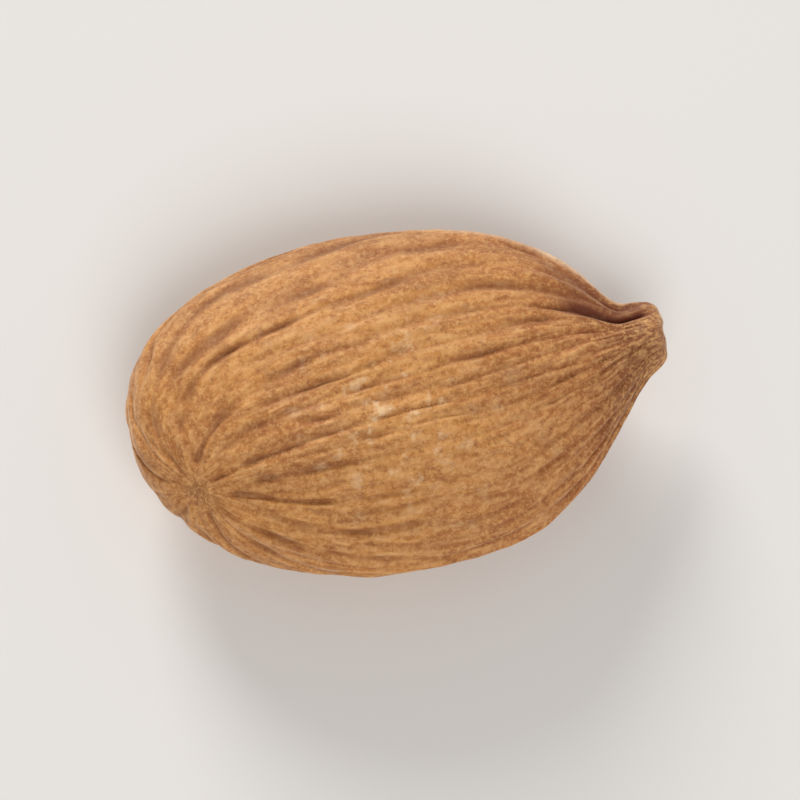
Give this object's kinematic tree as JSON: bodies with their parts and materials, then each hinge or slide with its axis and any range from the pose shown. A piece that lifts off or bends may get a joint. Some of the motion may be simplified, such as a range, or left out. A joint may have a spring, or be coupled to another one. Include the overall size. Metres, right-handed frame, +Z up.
{
  "type": "almond",
  "caption": "Shelled almond kernel in its brown skin: a flattened drop with a blunt end, a small beak and fine wrinkles that fan out from end to end.",
  "frame": {"origin": "under the middle of the kernel's outline, on the surface that it rests on", "axes": "+X along the kernel towards its pointed end, +Y across it towards its straighter edge, +Z up through its broad face"},
  "size_m": [0.026, 0.0164, 0.0088],
  "materials": {
    "skin": "matt, dusty tan-brown seed skin with darker furrows"
  },
  "bodies": {
    "root": {"almond": "skin"}
  },
  "joints": []
}
